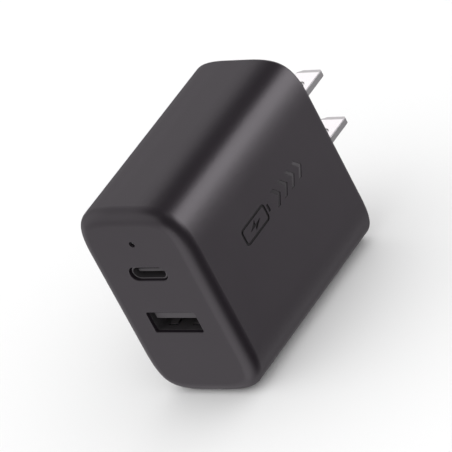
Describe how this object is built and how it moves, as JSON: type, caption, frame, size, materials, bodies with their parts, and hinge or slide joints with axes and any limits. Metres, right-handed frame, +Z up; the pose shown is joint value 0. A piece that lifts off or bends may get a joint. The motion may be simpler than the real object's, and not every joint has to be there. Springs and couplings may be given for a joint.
{
  "type": "usb wall charger",
  "caption": "Compact upright mains charger block with rounded long edges, a USB-C and a USB-A socket on its front and fixed flat blades at the back.",
  "frame": {"origin": "middle of the wall face, between the two blades, in the plane that meets the wall outlet", "axes": "+X across the width, to the right when the sockets are faced; +Y out of the wall face along the blades, so the sockets face -Y; +Z up the height, towards the USB-C socket"},
  "size_m": [0.028, 0.069, 0.048],
  "materials": {
    "housing_plastic": "satin black, fine-textured moulded plastic",
    "cover_plastic": "matt black moulded plastic",
    "blade_metal": "bright nickel plate over brass, with drawn lines along the blade",
    "spring_brass": "plain stamped phosphor bronze",
    "contact_metal": "gold-plated contact strip",
    "socket_steel": "black-plated stamped steel",
    "socket_plastic": "black glass-filled plastic",
    "board_laminate": "green solder mask over glass laminate",
    "lead_metal": "tinned wire",
    "capacitor_sleeve": "shrunk sleeve, dark blue, with a bare aluminium top",
    "ferrite": "ground grey-black ferrite",
    "bobbin_plastic": "black phenolic",
    "winding_tape": "copper winding under yellow polyester tape",
    "choke_wire": "enamelled copper wire",
    "chip_plastic": "black moulding compound",
    "small_chip_ceramic": "tan ceramic",
    "fuse_plastic": "dark brown moulded case",
    "thermistor_ceramic": "dark green coated disc",
    "y_capacitor_ceramic": "blue epoxy-coated disc",
    "insulating_film": "amber film",
    "pad_silicone": "soft grey silicone",
    "spreader_aluminium": "thin rolled sheet",
    "pipe_acrylic": "clear frosted acrylic",
    "led_package": "white package with a yellow lens"
  },
  "bodies": {
    "root": {"housing_shell": "housing_plastic", "back_cover": "cover_plastic", "blade_upper": "blade_metal", "blade_lower": "blade_metal", "blade_retainer": "socket_plastic", "blade_clip_upper": "spring_brass", "blade_clip_lower": "spring_brass", "main_board": "board_laminate", "port_board": "board_laminate", "component_leads": "lead_metal", "usb_a_shell": "socket_steel", "usb_a_contacts": "contact_metal", "usb_a_insulator": "socket_plastic", "usb_c_shell": "socket_steel", "usb_c_contacts": "contact_metal", "usb_c_midplate": "socket_steel", "usb_c_insulator": "socket_plastic", "status_led": "led_package", "light_pipe": "pipe_acrylic", "transformer_core_lower": "ferrite", "transformer_core_upper": "ferrite", "transformer_bobbin": "bobbin_plastic", "transformer_winding": "winding_tape", "transformer_pins": "lead_metal", "input_capacitor_1": "capacitor_sleeve", "input_capacitor_2": "capacitor_sleeve", "output_capacitor_1": "capacitor_sleeve", "output_capacitor_2": "capacitor_sleeve", "fuse": "fuse_plastic", "inrush_thermistor": "thermistor_ceramic", "y_capacitor": "y_capacitor_ceramic", "choke_core": "ferrite", "choke_winding": "choke_wire", "bridge_rectifier": "chip_plastic", "power_switch": "chip_plastic", "primary_controller": "chip_plastic", "optocoupler": "chip_plastic", "sync_rectifier": "chip_plastic", "protocol_controller": "chip_plastic", "small_chips": "small_chip_ceramic", "insulation_sheet": "insulating_film", "heat_spreader": "spreader_aluminium", "thermal_pad": "pad_silicone"}
  },
  "joints": []
}
